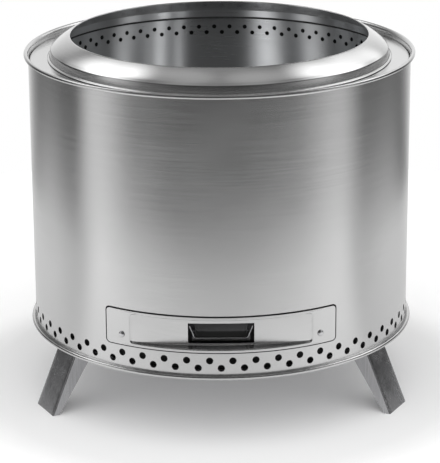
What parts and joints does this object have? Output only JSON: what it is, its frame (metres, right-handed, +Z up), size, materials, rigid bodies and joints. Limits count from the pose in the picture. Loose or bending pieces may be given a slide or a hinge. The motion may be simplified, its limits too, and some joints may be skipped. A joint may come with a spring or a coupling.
{
  "type": "smokeless fire pit with ash drawer",
  "caption": "Double-wall stainless fire pit on folding splayed legs, with a lift-off flame ring, a loose grate and a slide-out ash drawer with a recessed scoop pull.",
  "frame": {"origin": "on the floor, on the vertical axis of the barrel", "axes": "+Z up along the axis of the barrel, -Y towards the ash drawer at the front, +X to the right as seen from the front"},
  "size_m": [0.5934, 0.6027, 0.5572],
  "materials": {
    "shell_steel": "brushed round the barrel, bright",
    "ring_steel": "satin",
    "chamber_steel": "mill finish, darker inside the fire chamber",
    "frame_steel": "plain mill finish on hidden sheet parts",
    "fastener_steel": "turned, satin",
    "leg_steel": "brushed along the leg"
  },
  "bodies": {
    "root": {"outer_shell": "shell_steel", "inner_wall": "chamber_steel", "top_deck": "ring_steel", "base_pan": "frame_steel", "chamber_floor": "chamber_steel", "drawer_rail_left": "frame_steel", "drawer_rail_right": "frame_steel", "drawer_stop": "frame_steel", "leg_bracket_left": "frame_steel", "leg_bracket_right": "frame_steel", "leg_bracket_rear": "frame_steel", "bracket_rivet_left_1": "fastener_steel", "bracket_rivet_left_2": "fastener_steel", "bracket_rivet_right_1": "fastener_steel", "bracket_rivet_right_2": "fastener_steel", "bracket_rivet_rear_1": "fastener_steel", "bracket_rivet_rear_2": "fastener_steel", "hinge_pin_left": "fastener_steel", "hinge_pin_right": "fastener_steel", "hinge_pin_rear": "fastener_steel"},
    "ring": {"flame_ring": "ring_steel"},
    "grate": {"fire_grate": "chamber_steel"},
    "drawer": {"drawer_front": "shell_steel", "pull_scoop": "ring_steel", "ash_tray": "frame_steel", "drawer_rivet_left": "fastener_steel", "drawer_rivet_right": "fastener_steel"},
    "left_leg": {"leg_left": "leg_steel"},
    "right_leg": {"leg_right": "leg_steel"},
    "rear_leg": {"leg_rear": "leg_steel"}
  },
  "joints": [
    {"name": "flame_ring_lift", "type": "slide", "parent": "root", "child": "ring", "axis": [0, 0, 1], "range_m": [0, 0.12]},
    {"name": "fire_grate_lift", "type": "slide", "parent": "root", "child": "grate", "axis": [0, 0, 1], "range_m": [0, 0.37]},
    {"name": "drawer_slide", "type": "slide", "parent": "root", "child": "drawer", "axis": [0, -1, 0], "range_m": [0, 0.46]},
    {"name": "leg_left_fold", "type": "hinge", "parent": "root", "child": "left_leg", "pos_m": [-0.22078, -0.11739, 0.0897], "axis": [0.4695, -0.8829, 0], "range_deg": [0, 113]},
    {"name": "leg_right_fold", "type": "hinge", "parent": "root", "child": "right_leg", "pos_m": [0.22078, -0.11739, 0.0897], "axis": [0.4695, 0.8829, 0], "range_deg": [0, 113]},
    {"name": "leg_rear_fold", "type": "hinge", "parent": "root", "child": "rear_leg", "pos_m": [0, 0.25005, 0.0897], "axis": [-1, 0, 0], "range_deg": [0, 113]}
  ]
}
